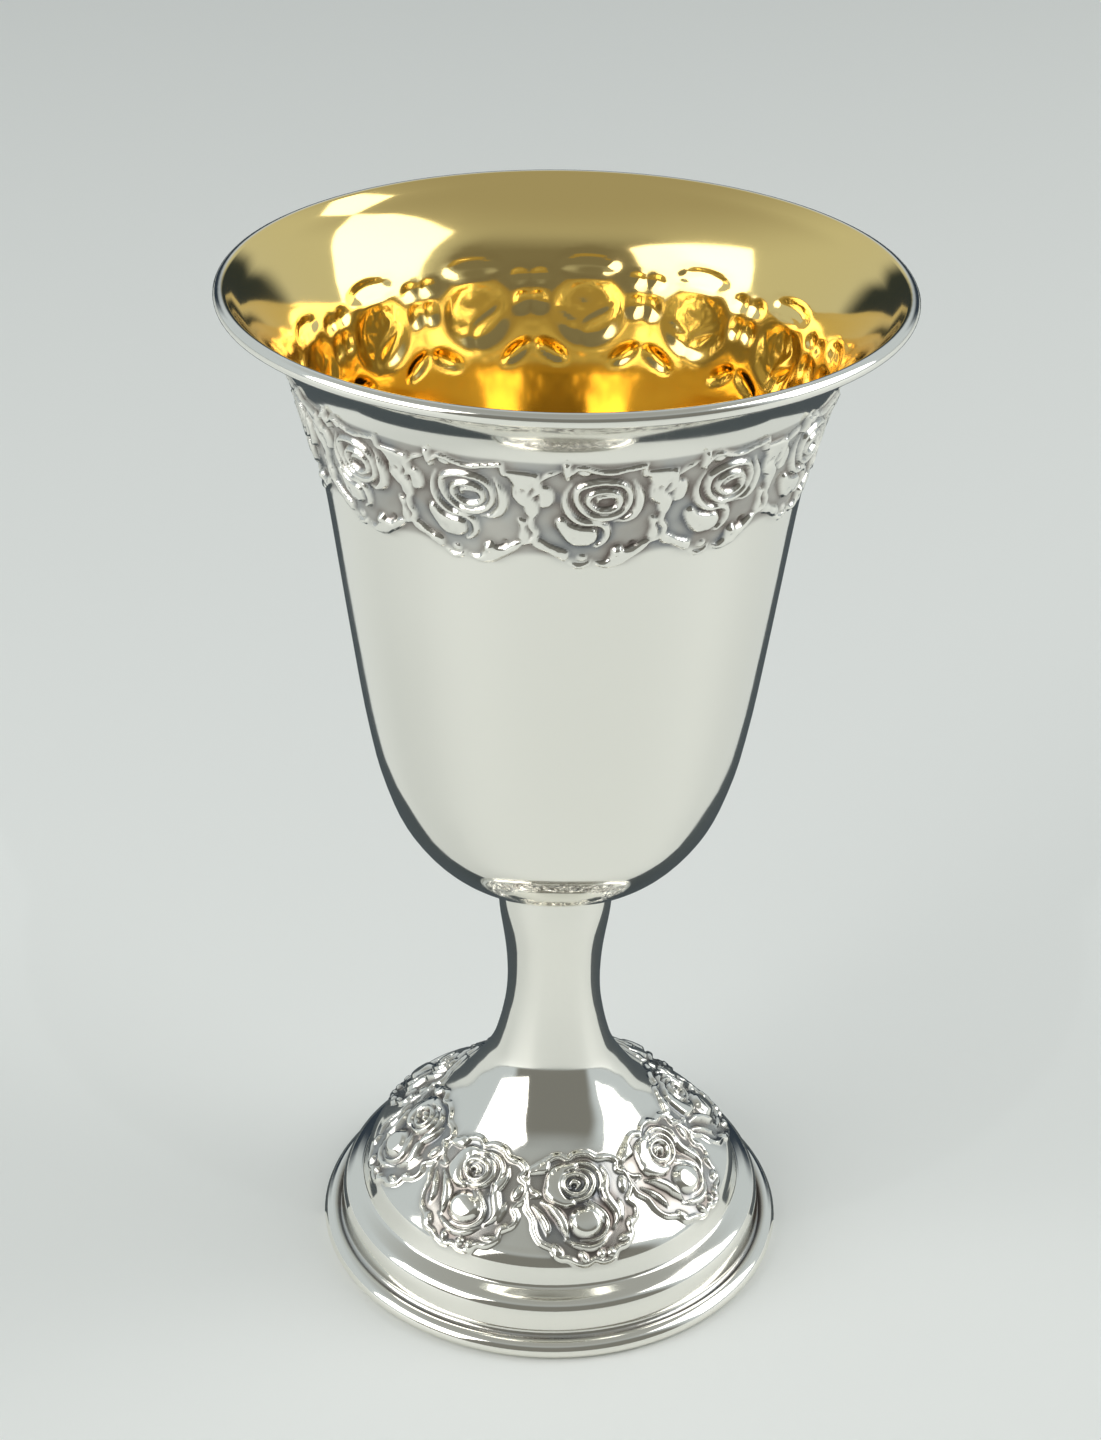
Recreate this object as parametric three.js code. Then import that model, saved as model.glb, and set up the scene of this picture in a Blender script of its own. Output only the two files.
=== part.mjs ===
// A footed silver kiddush cup with a band of roses round the bowl and rose medallions on the foot.
//
// Two pieces: the bowl, spun from one sheet and chased with the roses, and the foot, spun as one
// sheet from the stem down over the dome to the rolled ring that it stands on. Both are open shells
// of even thickness, so the roses show on the inside of the bowl as their own negative.
//
// Units are millimetres, +Z is up, the floor is z = 0 and the front is -Y.
// A surface is laid out from a profile, [radius, height] pairs turned about the Z axis. An azimuth
// is 0 at the front and grows towards +X. On a band, u runs round the cup and v up along the wall.

import * as THREE from 'three';
import { mergeVertices } from 'three/addons/utils/BufferGeometryUtils.js';

// Driving dimensions
const CUP_HEIGHT = 135;
const RIM_RADIUS = 40.4;
const RIM_BEAD_RADIUS = 0.85;
const SHEET = 0.7;
const SOLDER_GAP = 0.3;

const BOWL_BOTTOM = 55.2;
const STEM_TOP_RADIUS = 7.35;
const STEM_WAIST_RADIUS = 6.05;

const FOOT_RING_RADIUS = 30.9;
const FOOT_RING_HEIGHT = 2.45;
const FOOT_STEP_RADIUS = 28.3;
const FOOT_STEP_HEIGHT = 7.3;
const DOME_RADIUS = 25.3;

// The rose band round the bowl
const BAND_ROSES = 13;
const BAND_TURN = THREE.MathUtils.degToRad(8.7);
const BAND_CENTRE_HEIGHT = 121.4;
const BAND_LOW = -9.2;
const BAND_HIGH = 5.8;
const BAND_HALF_PITCH = 7.3;
const BAND_RELIEF = 1;

// The rose medallions on the foot
const MEDALLIONS = 8;
const MEDALLION_TURN = THREE.MathUtils.degToRad(13);
const MEDALLION_CENTRE_HEIGHT = 15.4;
const MEDALLION_HALF_WIDTH = 7.6;
const MEDALLION_HALF_HEIGHT = 7.2;
const MEDALLION_BAND_HALF = 7.9;
const MEDALLION_RELIEF = 0.9;

// Facets
const BAND_TOP_SIDES = 4;
const BAND_EDGE_SIDES = 3;
const MEDALLION_TOP_SIDES = 4;
const MEDALLION_BOTTOM_SIDES = 6;
const MEDALLION_EDGE_SIDES = 3;
const BOWL_OUTSIDE_ROWS = 9;
const BOWL_INSIDE_ROWS = 6;
const FLARE_ROWS = 3;
const BEAD_DEGREES = [-110, -55, 0, 45, 90, 120];
const STEM_ROWS = 7;
const BORE_ROWS = 3;
const DOME_HOLLOW_ROWS = 3;
const BEND_PER_LENGTH = 0.012;

// The outer face of the bowl, from the middle of its underside up to the rolled rim
const BOWL_PROFILE = [
  [0, BOWL_BOTTOM], [3.6, BOWL_BOTTOM + 0.15], [7.5, BOWL_BOTTOM + 0.9], [14.4, 58.7], [19.4, 64.4],
  [22.2, 71.5], [23.9, 79.5], [25.6, 91], [27.1, 102], [28, 108.6], [28.9, 114], [30, 119],
  [31.2, 123.2], [32.2, 125.6], [33.5, 127.9], [35.1, 130], [36.9, 131.9], [38.7, 133.35],
];

// The outer face of the foot, from the steep foot of its dome up over the dome to the stem's top
const DOME_PROFILE = [
  [DOME_RADIUS, 8.05], [DOME_RADIUS - 0.3, 9.2], [DOME_RADIUS - 0.6, 10.4], [24.1, 11.35],
  [23.1, 12.2], [21.3, 13.7], [19.4, 15.3], [17, 17.3], [14.2, 19.6], [12.1, 21.8], [10.4, 24.1],
  [9.1, 26.1], [8, 28.3], [7.2, 30.9], [6.6, 33.6], [6.2, 36.2], [STEM_WAIST_RADIUS, 39],
  [6.15, 42], [6.4, 44.6], [6.75, 47], [7.1, 49.3], [STEM_TOP_RADIUS - 0.05, 51.5],
  [STEM_TOP_RADIUS, BOWL_BOTTOM + 0.85 - SOLDER_GAP],
];

// The rolled ring and the step above it, from the flat underside up to the ledge round the dome
const FOOT_MOULDING = [
  [FOOT_RING_RADIUS - 0.85, 0], [FOOT_RING_RADIUS, 1], [FOOT_RING_RADIUS - 0.4, 2.05],
  [FOOT_RING_RADIUS - 1.2, FOOT_RING_HEIGHT], [FOOT_STEP_RADIUS + 0.4, 1.9],
  [FOOT_STEP_RADIUS, 3.4], [FOOT_STEP_RADIUS, 5.4], [FOOT_STEP_RADIUS - 0.8, 6.7],
  [FOOT_STEP_RADIUS - 2.1, FOOT_STEP_HEIGHT],
];

// The hollow side of the same mouldings, from the ledge down to the inner edge of the underside
const FOOT_LINING = [
  [FOOT_STEP_RADIUS - SHEET - 2.1, FOOT_STEP_HEIGHT - SHEET], [FOOT_STEP_RADIUS - SHEET, 5],
  [FOOT_STEP_RADIUS - SHEET, 2.2], [FOOT_RING_RADIUS - 2.4, 0],
];

// ---- Profiles ---------------------------------------------------------------------------------

// A smooth line through [radius, height] points, walked by its own length
class Profile {
  constructor(points) {
    const knots = points.map(([radius, height]) => new THREE.Vector3(radius, 0, height));
    this.curve = new THREE.CatmullRomCurve3(knots, false, 'centripetal');
    this.curve.arcLengthDivisions = 600;
    this.length = this.curve.getLength();
  }

  // The point at a length along the line, moved out of the metal by an offset
  at(length, offset = 0) {
    const share = THREE.MathUtils.clamp(length / this.length, 0, 1);
    const point = this.curve.getPointAt(share);
    const tangent = this.curve.getTangentAt(share);
    return [point.x + offset * tangent.z, point.z - offset * tangent.x];
  }

  lengthAtHeight(height) {
    let low = 0;
    let high = this.length;
    for (let step = 0; step < 40; step += 1) {
      const middle = (low + high) / 2;
      if (this.at(middle)[1] < height) low = middle;
      else high = middle;
    }
    return (low + high) / 2;
  }

  // Points between two lengths, both ends included, closer together where the line bends
  row(from, to, count, offset = 0) {
    const steps = 240;
    const lengths = Array.from({ length: steps + 1 }, (_, i) => from + ((to - from) * i) / steps);
    const tangents = lengths.map((length) => this.curve.getTangentAt(length / this.length));
    const spent = [0];
    for (let i = 1; i <= steps; i += 1) {
      const bend = tangents[i].angleTo(tangents[i - 1]);
      spent.push(spent[i - 1] + bend + BEND_PER_LENGTH * Math.abs(lengths[i] - lengths[i - 1]));
    }
    return Array.from({ length: count + 1 }, (_, k) => {
      const i = spent.findIndex((value) => value >= (spent[steps] * k) / count - 1e-9);
      return this.at(lengths[i], offset);
    });
  }
}

// ---- Closed shells of triangles ---------------------------------------------------------------

const place = (azimuth, [radius, height]) => (
  new THREE.Vector3(radius * Math.sin(azimuth), -radius * Math.cos(azimuth), height)
);

class Shell {
  constructor() {
    this.corners = [];
  }

  triangle(a, b, c) {
    for (const corner of [a, b, c]) this.corners.push(corner.x, corner.y, corner.z);
  }

  // A strip between two rings that follow each other along the profile
  band(ring, next) {
    ring.forEach((corner, i) => {
      const j = (i + 1) % ring.length;
      this.triangle(corner, ring[j], next[j]);
      this.triangle(corner, next[j], next[i]);
    });
  }

  cone(ring, tip, tipFirst) {
    ring.forEach((corner, i) => {
      const other = ring[(i + 1) % ring.length];
      if (tipFirst) this.triangle(tip, other, corner);
      else this.triangle(tip, corner, other);
    });
  }

  // Turns a run of profile points into rings and strips, and returns the first and last ring
  turn(points, sides, start) {
    const rings = points.map((point) => ringAt(point, sides, start));
    for (let i = 1; i < rings.length; i += 1) this.band(rings[i - 1], rings[i]);
    return { first: rings[0], last: rings[rings.length - 1] };
  }

  mesh(name, material) {
    const soup = new THREE.BufferGeometry();
    soup.setAttribute('position', new THREE.Float32BufferAttribute(this.corners, 3));
    const geometry = mergeVertices(soup, 1e-3);
    geometry.computeVertexNormals();
    const mesh = new THREE.Mesh(geometry, material);
    mesh.name = name;
    return mesh;
  }
}

function ringAt(point, sides, start) {
  return Array.from({ length: sides }, (_, i) => place(start + (2 * Math.PI * i) / sides, point));
}

// ---- Rose relief ------------------------------------------------------------------------------

// A rounded mound of elliptical outline
function mound(u, v, { at: [centreU, centreV], size: [halfU, halfV], height }) {
  const share = ((u - centreU) / halfU) ** 2 + ((v - centreV) / halfV) ** 2;
  return share < 1 ? height * Math.sqrt(1 - share ** 3) : 0;
}

// A raised line that follows an ellipse
function hoop(u, v, { at: [centreU, centreV], size: [halfU, halfV], width, height }) {
  const off = (Math.hypot((u - centreU) / halfU, (v - centreV) / halfV) - 1) * Math.min(halfU, halfV);
  return height * Math.exp(-((off / width) ** 2));
}

const BAND_MIDDLE = (BAND_LOW + BAND_HIGH) / 2;
const BAND_BUD = { at: [0, 0], size: [4.8, 3.2], height: BAND_RELIEF };
const BAND_BUD_GROOVE = { at: [0, 0], size: [1.8, 1.2], width: 0.5, height: 0.6 };
const BAND_PETAL = { at: [-1.9, -4], size: [3.2, 2.5], height: 0.95 * BAND_RELIEF };
const BAND_LEAF = { at: [0, BAND_MIDDLE], size: [6.2, 6.7], width: 0.9, height: 0.75 * BAND_RELIEF };
const BAND_SIDE_LEAF = { at: [BAND_HALF_PITCH, 0.6], size: [2.3, 3.2], height: 0.7 * BAND_RELIEF };

// The height of the band's metal over the plain wall: a spiral bud, the petal that curls out
// below it to the left, a leafy frame, and the leaves that fill the space between two roses
function bandRelief(u, v) {
  const raised = Math.max(
    mound(u, v, BAND_BUD) - hoop(u, v, BAND_BUD_GROOVE),
    mound(u, v, BAND_PETAL),
    hoop(u, v, BAND_LEAF),
    mound(Math.abs(u), v, BAND_SIDE_LEAF),
  );
  const edge = Math.min(BAND_HIGH - v, v - BAND_LOW);
  return raised * THREE.MathUtils.smoothstep(edge, 0, 0.8);
}

const FOOT_BUD = { at: [-0.5, 2.5], size: [4.2, 3.1], height: MEDALLION_RELIEF };
const FOOT_BALL = { at: [0.2, -2.3], size: [2.8, 2.5], height: 1.15 * MEDALLION_RELIEF };
const FOOT_WRAP = { at: [0.2, -1.6], size: [4.2, 4.1], width: 0.7, height: 0.75 * MEDALLION_RELIEF };
const FOOT_FRAME = {
  at: [0, 0],
  size: [MEDALLION_HALF_WIDTH - 0.7, MEDALLION_HALF_HEIGHT - 0.7],
  width: 0.75,
  height: 0.7 * MEDALLION_RELIEF,
};

// The height of a medallion's metal over the dome: a spiral bud, a round petal under it with two
// petals wrapped round its sides, and a frilled frame
function medallionRelief(u, v) {
  return Math.max(
    mound(u, v, FOOT_BUD),
    mound(u, v, FOOT_BALL),
    hoop(u, v, FOOT_WRAP),
    hoop(u, v, FOOT_FRAME),
  );
}

// One rose's panel as rings of facets round the bud, out to the panel's own straight edges.
// Each ring has a centre and half sizes; "frill" pushes every other corner of it in and out.
function rosePanel({ border, centre, half, rings }) {
  const angles = border.map(([u, v]) => Math.atan2((v - centre[1]) / half[1], (u - centre[0]) / half[0]));
  const loops = rings.map(({ at, size, frill = 0 }) => angles.map((angle, i) => {
    const reach = 1 + (i % 2 === 0 ? frill : -frill);
    return [at[0] + reach * size[0] * Math.cos(angle), at[1] + reach * size[1] * Math.sin(angle)];
  }));
  loops.push(border);
  const triangles = [];
  const tip = rings[0].at;
  border.forEach((_, i) => {
    const j = (i + 1) % border.length;
    triangles.push([tip, loops[0][i], loops[0][j]]);
    for (let k = 1; k < loops.length; k += 1) {
      triangles.push([loops[k - 1][i], loops[k][i], loops[k][j]]);
      triangles.push([loops[k - 1][i], loops[k][j], loops[k - 1][j]]);
    }
  });
  return triangles;
}

// The corners of a panel's edge, anticlockwise from its lower left; u is given in half widths
function panelBorder(low, high, bottomSides, edgeSides, topSides) {
  const bottom = Array.from({ length: bottomSides }, (_, i) => [-1 + (2 * i) / bottomSides, low]);
  const right = Array.from({ length: edgeSides }, (_, i) => [1, low + ((high - low) * i) / edgeSides]);
  const top = Array.from({ length: topSides }, (_, i) => [1 - (2 * i) / topSides, high]);
  const left = Array.from({ length: edgeSides }, (_, i) => [-1, high - ((high - low) * i) / edgeSides]);
  return [...bottom, ...right, ...top, ...left];
}

// ---- The bowl ---------------------------------------------------------------------------------

function makeBowl(material) {
  const wall = new Profile(BOWL_PROFILE);
  const shell = new Shell();
  const sides = BAND_ROSES * BAND_TOP_SIDES;
  const halfTurn = Math.PI / BAND_ROSES;
  const start = BAND_TURN - halfTurn;
  const middle = wall.lengthAtHeight(BAND_CENTRE_HEIGHT);
  const low = middle + BAND_LOW;
  const high = middle + BAND_HIGH;

  const edge = panelBorder(BAND_LOW, BAND_HIGH, BAND_TOP_SIDES, BAND_EDGE_SIDES, BAND_TOP_SIDES);
  const panel = rosePanel({
    border: edge.map(([u, v]) => [u * BAND_HALF_PITCH, v]),
    centre: [0, BAND_MIDDLE],
    half: [BAND_HALF_PITCH, (BAND_HIGH - BAND_LOW) / 2],
    rings: [
      { at: [0, 0], size: [1.8, 1.2] },
      { at: [0, -0.1], size: [3.7, 2.5] },
      { at: [-0.3, -1.2], size: [5, 4.8] },
      { at: [0, BAND_MIDDLE], size: [6.2, 6.6], frill: 0.03 },
    ],
  });

  // The band of roses, with the metal's outer face or, moved in by the sheet, its inner face
  const chase = (rose, offset, inside) => {
    const corner = ([u, v]) => {
      const azimuth = BAND_TURN + (2 * rose + u / BAND_HALF_PITCH) * halfTurn;
      return place(azimuth, wall.at(middle + v, bandRelief(u, v) + offset));
    };
    for (const triangle of panel) {
      const [a, b, c] = triangle.map(corner);
      if (inside) shell.triangle(a, c, b);
      else shell.triangle(a, b, c);
    }
  };

  // Outside, from the underside up
  const lower = shell.turn(wall.row(0, low, BOWL_OUTSIDE_ROWS).slice(1), sides, start);
  shell.cone(lower.first, place(0, wall.at(0)), true);
  for (let rose = 0; rose < BAND_ROSES; rose += 1) chase(rose, 0, false);
  const flare = wall.row(high, wall.length, FLARE_ROWS);

  // Over the rolled rim and down the flare inside
  const bead = BEAD_DEGREES.map((degrees) => {
    const angle = THREE.MathUtils.degToRad(degrees);
    return [
      RIM_RADIUS - RIM_BEAD_RADIUS + RIM_BEAD_RADIUS * Math.cos(angle),
      CUP_HEIGHT - RIM_BEAD_RADIUS + RIM_BEAD_RADIUS * Math.sin(angle),
    ];
  });
  const flareInside = wall.row(wall.length, high, FLARE_ROWS, -SHEET);
  shell.turn([...flare, ...bead, ...flareInside], sides, start);

  // Inside, down to the middle of the floor
  for (let rose = 0; rose < BAND_ROSES; rose += 1) chase(rose, -SHEET, true);
  const inner = shell.turn(wall.row(low, 0, BOWL_INSIDE_ROWS, -SHEET).slice(0, -1), sides, start);
  shell.cone(inner.last, place(0, wall.at(0, -SHEET)), false);
  return shell.mesh('bowl', material);
}

// ---- The foot ---------------------------------------------------------------------------------

function makeFoot(material) {
  const dome = new Profile(DOME_PROFILE);
  const shell = new Shell();
  const halfTurn = Math.PI / MEDALLIONS;
  const start = MEDALLION_TURN - halfTurn;
  const stemSides = MEDALLIONS * MEDALLION_TOP_SIDES;
  const ringSides = MEDALLIONS * MEDALLION_BOTTOM_SIDES;
  const middle = dome.lengthAtHeight(MEDALLION_CENTRE_HEIGHT);
  const low = middle - MEDALLION_BAND_HALF;
  const high = middle + MEDALLION_BAND_HALF;

  // A panel is wider at the bottom than at the top, so its edge is a slice of the dome
  const edge = panelBorder(
    -MEDALLION_BAND_HALF, MEDALLION_BAND_HALF,
    MEDALLION_BOTTOM_SIDES, MEDALLION_EDGE_SIDES, MEDALLION_TOP_SIDES,
  );
  const radiusAt = (v) => dome.at(middle + v)[0];
  const panel = rosePanel({
    border: edge.map(([u, v]) => [u * halfTurn * radiusAt(v), v]),
    centre: [0, 0],
    half: [halfTurn * radiusAt(0), MEDALLION_BAND_HALF],
    rings: [
      { at: [0, 0.2], size: [1.9, 2.3] },
      { at: [0, 0], size: [3.8, 4] },
      { at: [0, 0], size: [5.5, 5.2] },
      { at: [0, 0], size: FOOT_FRAME.size, frill: 0.04 },
      { at: [0, 0], size: [MEDALLION_HALF_WIDTH, MEDALLION_HALF_HEIGHT] },
    ],
  });
  const fade = (u, v) => {
    const reach = Math.hypot(u / MEDALLION_HALF_WIDTH, v / MEDALLION_HALF_HEIGHT);
    return reach > 0.995 ? 0 : medallionRelief(u, v);
  };
  for (let rose = 0; rose < MEDALLIONS; rose += 1) {
    const corner = ([u, v]) => {
      const azimuth = MEDALLION_TURN + 2 * rose * halfTurn + u / radiusAt(v);
      return place(azimuth, dome.at(middle + v, fade(u, v)));
    };
    for (const triangle of panel) shell.triangle(...triangle.map(corner));
  }

  // Up the stem, over its top edge and down the bore to the hollow of the dome
  const bore = dome.row(dome.length, high, BORE_ROWS, -SHEET);
  const stem = shell.turn([...dome.row(high, dome.length, STEM_ROWS), ...bore], stemSides, start);

  // From the hollow of the dome down to the underside and up the outside to the roses
  const hollow = dome.row(high, low, DOME_HOLLOW_ROWS, -SHEET);
  const hem = [...FOOT_LINING, ...FOOT_MOULDING, ...dome.row(0, low, 1)];
  const foot = shell.turn([...hollow.slice(1), ...hem], ringSides, start);
  stitch(shell, stem.last, foot.first);
  return shell.mesh('foot', material);
}

// Joins two rings with different numbers of corners that start at the same azimuth
function stitch(shell, ring, next) {
  let i = 0;
  let j = 0;
  while (i < ring.length || j < next.length) {
    const a = ring[i % ring.length];
    const b = next[j % next.length];
    if ((i + 1) / ring.length <= (j + 1) / next.length) {
      i += 1;
      shell.triangle(a, ring[i % ring.length], b);
    } else {
      j += 1;
      shell.triangle(a, next[j % next.length], b);
    }
  }
}

// ---- The cup ----------------------------------------------------------------------------------

const polishedSilver = new THREE.MeshStandardMaterial({ color: 0xd9dad6, metalness: 1, roughness: 0.12 });
const silverGilt = new THREE.MeshStandardMaterial({ color: 0xdcd6c4, metalness: 1, roughness: 0.12 });

const cup = new THREE.Group();
cup.add(makeBowl(silverGilt), makeFoot(polishedSilver));

export default cup;
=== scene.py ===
"""Looks of a footed silver kiddush cup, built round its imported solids.

The bowl and the foot are each one closed mesh of thin sheet. The roses are raised in the sheet
itself: crisp chasing on the outside, and a softer and lower relief on the hollow side.
Lengths are millimetres until a mesh is made. +Z is up and the front is -Y. On a band of roses, u
runs round the cup and v runs up along the wall, both from the middle of a rose.
"""
import math

import bpy
import numpy as np
from mathutils import Matrix, Vector


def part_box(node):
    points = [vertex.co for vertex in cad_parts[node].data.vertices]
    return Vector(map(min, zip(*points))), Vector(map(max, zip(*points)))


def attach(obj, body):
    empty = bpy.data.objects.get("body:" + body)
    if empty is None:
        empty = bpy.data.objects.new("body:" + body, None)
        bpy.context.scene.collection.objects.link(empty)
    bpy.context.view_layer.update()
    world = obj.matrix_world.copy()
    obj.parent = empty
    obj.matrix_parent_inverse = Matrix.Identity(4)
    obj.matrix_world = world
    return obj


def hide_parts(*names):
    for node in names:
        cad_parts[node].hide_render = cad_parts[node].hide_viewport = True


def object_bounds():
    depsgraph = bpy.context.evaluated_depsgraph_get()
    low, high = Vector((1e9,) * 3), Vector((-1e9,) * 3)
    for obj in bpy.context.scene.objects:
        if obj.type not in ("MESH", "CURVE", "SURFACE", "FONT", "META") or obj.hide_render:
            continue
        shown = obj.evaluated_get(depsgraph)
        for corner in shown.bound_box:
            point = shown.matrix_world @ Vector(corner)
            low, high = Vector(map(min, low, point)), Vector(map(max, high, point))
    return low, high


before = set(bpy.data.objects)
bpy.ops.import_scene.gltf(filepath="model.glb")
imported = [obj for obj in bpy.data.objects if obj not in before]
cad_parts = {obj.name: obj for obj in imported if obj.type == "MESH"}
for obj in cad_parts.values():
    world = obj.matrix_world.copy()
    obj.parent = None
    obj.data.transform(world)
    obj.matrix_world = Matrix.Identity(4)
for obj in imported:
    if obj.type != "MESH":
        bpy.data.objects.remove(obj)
cad_low, cad_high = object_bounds()

# ---- Sizes, from the frame ---------------------------------------------------------------------

MM = 0.001
bowl_low, bowl_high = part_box("bowl")
foot_low, foot_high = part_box("foot")
CUP_HEIGHT = bowl_high.z / MM
RIM_RADIUS = (bowl_high.x - bowl_low.x) / 2 / MM
RING_RADIUS = (foot_high.x - foot_low.x) / 2 / MM
BOWL_BOTTOM = bowl_low.z / MM
RIM_BEAD_RADIUS = 0.85
SHEET = 0.7

STEP_RADIUS = RING_RADIUS - 2.6
RING_HEIGHT = 2.45
DOME_RADIUS = 25.3
STEM_TOP_RADIUS = 7.35
STEM_WAIST_RADIUS = 6.05
STEM_TOP = BOWL_BOTTOM + 0.85

# The rose band round the bowl
BAND_ROSES = 13
BAND_TURN = math.radians(8.7)
BAND_CENTRE_HEIGHT = 121.4
BAND_HALF_PITCH = 7.3
BAND_LOW = -9.9
BAND_HIGH = 6.1
BAND_RELIEF = 0.8
BAND_HAMMERED = 0.45

# The rose medallions on the foot
MEDALLIONS = 8
MEDALLION_TURN = math.radians(13)
MEDALLION_CENTRE_HEIGHT = 15.4
MEDALLION_HALF = 8.0
MEDALLION_RELIEF = 0.85

# Points [radius, height] of the sheet's outer face, the same as the solids'
BOWL_PROFILE = [
    (0, BOWL_BOTTOM), (3.6, BOWL_BOTTOM + 0.15), (7.5, BOWL_BOTTOM + 0.9), (14.4, 58.7),
    (19.4, 64.4), (22.2, 71.5), (23.9, 79.5), (25.6, 91), (27.1, 102), (28, 108.6), (28.9, 114),
    (30, 119), (31.2, 123.2), (32.2, 125.6), (33.5, 127.9), (35.1, 130), (36.9, 131.9),
    (38.7, 133.35),
]
DOME_PROFILE = [
    (DOME_RADIUS, 8.05), (DOME_RADIUS - 0.3, 9.2), (DOME_RADIUS - 0.6, 10.4), (24.1, 11.35),
    (23.1, 12.2), (21.3, 13.7), (19.4, 15.3), (17, 17.3), (14.2, 19.6), (12.1, 21.8), (10.4, 24.1),
    (9.1, 26.1), (8, 28.3), (7.2, 30.9), (6.6, 33.6), (6.2, 36.2), (STEM_WAIST_RADIUS, 39),
    (6.15, 42), (6.4, 44.6), (6.75, 47), (7.1, 49.3), (STEM_TOP_RADIUS - 0.05, 51.5),
    (STEM_TOP_RADIUS, STEM_TOP),
]
RING_PROFILE = [
    (RING_RADIUS - 0.9, 0), (RING_RADIUS - 0.3, 0.4), (RING_RADIUS - 0.02, 1.15),
    (RING_RADIUS - 0.3, 1.9), (RING_RADIUS - 0.75, 2.28), (RING_RADIUS - 1.2, RING_HEIGHT),
    (RING_RADIUS - 1.75, 2.3), (RING_RADIUS - 2.1, 1.9), (STEP_RADIUS + 0.4, 1.45),
]
STEP_PROFILE = [
    (STEP_RADIUS + 0.4, 1.45), (STEP_RADIUS + 0.3, 2.2), (STEP_RADIUS + 0.13, 3.1),
    (STEP_RADIUS + 0.01, 4.1), (STEP_RADIUS, 4.9), (STEP_RADIUS - 0.12, 5.75),
    (STEP_RADIUS - 0.4, 6.35), (STEP_RADIUS - 0.85, 6.76), (STEP_RADIUS - 1.5, 7.08),
    (STEP_RADIUS - 2.1, 7.3), (STEP_RADIUS - 2.6, 7.5), (DOME_RADIUS + 0.14, 7.72),
    (DOME_RADIUS, 8.05),
]
LINING_PROFILE = [
    (DOME_RADIUS - 0.75, 7.3), (STEP_RADIUS - 2.4, 6.55), (STEP_RADIUS - 1.3, 6.1),
    (STEP_RADIUS - SHEET, 5), (STEP_RADIUS - SHEET, 2.2), (STEP_RADIUS - 0.3, 0.7),
    (RING_RADIUS - 2.4, 0),
]


# ---- Curves and profiles -----------------------------------------------------------------------

def spline(points, per_span=24):
    """Points along a centripetal Catmull-Rom line through the given ones."""
    knots = np.asarray(points, float)
    knots = np.vstack([2 * knots[0] - knots[1], knots, 2 * knots[-1] - knots[-2]])
    spans = []
    for p0, p1, p2, p3 in zip(knots, knots[1:], knots[2:], knots[3:]):
        gaps = [max(np.linalg.norm(b - a) ** 0.5, 1e-6) for a, b in ((p0, p1), (p1, p2), (p2, p3))]
        t0, t1, t2, t3 = np.concatenate([[0], np.cumsum(gaps)])
        t = np.linspace(t1, t2, per_span, endpoint=False)[:, None]
        a1 = ((t1 - t) * p0 + (t - t0) * p1) / (t1 - t0)
        a2 = ((t2 - t) * p1 + (t - t1) * p2) / (t2 - t1)
        a3 = ((t3 - t) * p2 + (t - t2) * p3) / (t3 - t2)
        b1 = ((t2 - t) * a1 + (t - t0) * a2) / (t2 - t0)
        b2 = ((t3 - t) * a2 + (t - t1) * a3) / (t3 - t1)
        spans.append(((t2 - t) * b1 + (t - t1) * b2) / (t2 - t1))
    return np.vstack([*spans, knots[-2:-1]])


class Profile:
    """A smooth [radius, height] line, walked by its own length."""

    TRIALS = 400
    EVEN_SHARE = 0.02

    def __init__(self, points):
        self.points = spline(points, 60)
        steps = np.linalg.norm(np.diff(self.points, axis=0), axis=1)
        self.lengths = np.concatenate([[0], np.cumsum(steps)])
        self.length = self.lengths[-1]

    def at(self, length, offset=0.0):
        """Radius and height at lengths, moved out of the metal by offsets."""
        length = np.clip(length, 0, self.length)
        reach = 0.02
        before = np.clip(length - reach, 0, self.length)
        after = np.clip(length + reach, 0, self.length)
        radius, height = (np.interp(length, self.lengths, c) for c in self.points.T)
        d_radius, d_height = (
            np.interp(after, self.lengths, c) - np.interp(before, self.lengths, c)
            for c in self.points.T
        )
        size = np.hypot(d_radius, d_height)
        return radius + offset * d_height / size, height - offset * d_radius / size

    def length_at(self, height):
        return float(np.interp(height, self.points[:, 1], self.lengths))

    def row(self, start, end, count):
        """Lengths from start to end, closer together where the line bends."""
        lengths = np.linspace(start, end, self.TRIALS)
        radius, height = self.at(lengths)
        angles = np.unwrap(np.arctan2(np.gradient(height), np.gradient(radius)))
        even = self.EVEN_SHARE * abs(end - start) / self.TRIALS
        spent = np.abs(np.gradient(angles)) + even
        spent = np.concatenate([[0], np.cumsum((spent[1:] + spent[:-1]) / 2)])
        return np.interp(np.linspace(0, spent[-1], count + 1), spent, lengths)


# ---- Relief ------------------------------------------------------------------------------------

def ease(value):
    value = np.clip(value, 0, 1)
    return value * value * (3 - 2 * value)


BOSS_SHOULDER = 0.45


def boss(u, v, centre, half, height, turn=0.0):
    """A raised oval with a gently domed top and a rounded shoulder."""
    cos, sin = math.cos(math.radians(turn)), math.sin(math.radians(turn))
    along = (u - centre[0]) * cos + (v - centre[1]) * sin
    across = (v - centre[1]) * cos - (u - centre[0]) * sin
    share = np.hypot(along / half[0], across / half[1])
    return height * ease((1 - share) / BOSS_SHOULDER) * (1 - 0.25 * np.minimum(share, 1) ** 2)


EDGE = 0.3


def plateau(depth, height):
    """A flat top with a rounded edge, by how deep inside its outline a spot lies."""
    return height * ease(depth / EDGE + 0.5) * (0.86 + 0.14 * ease(depth / 0.8))


def around(points):
    """A smooth closed line."""
    return spline([points[-1], *points, *points[:2]], 12)[12:-12]


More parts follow.
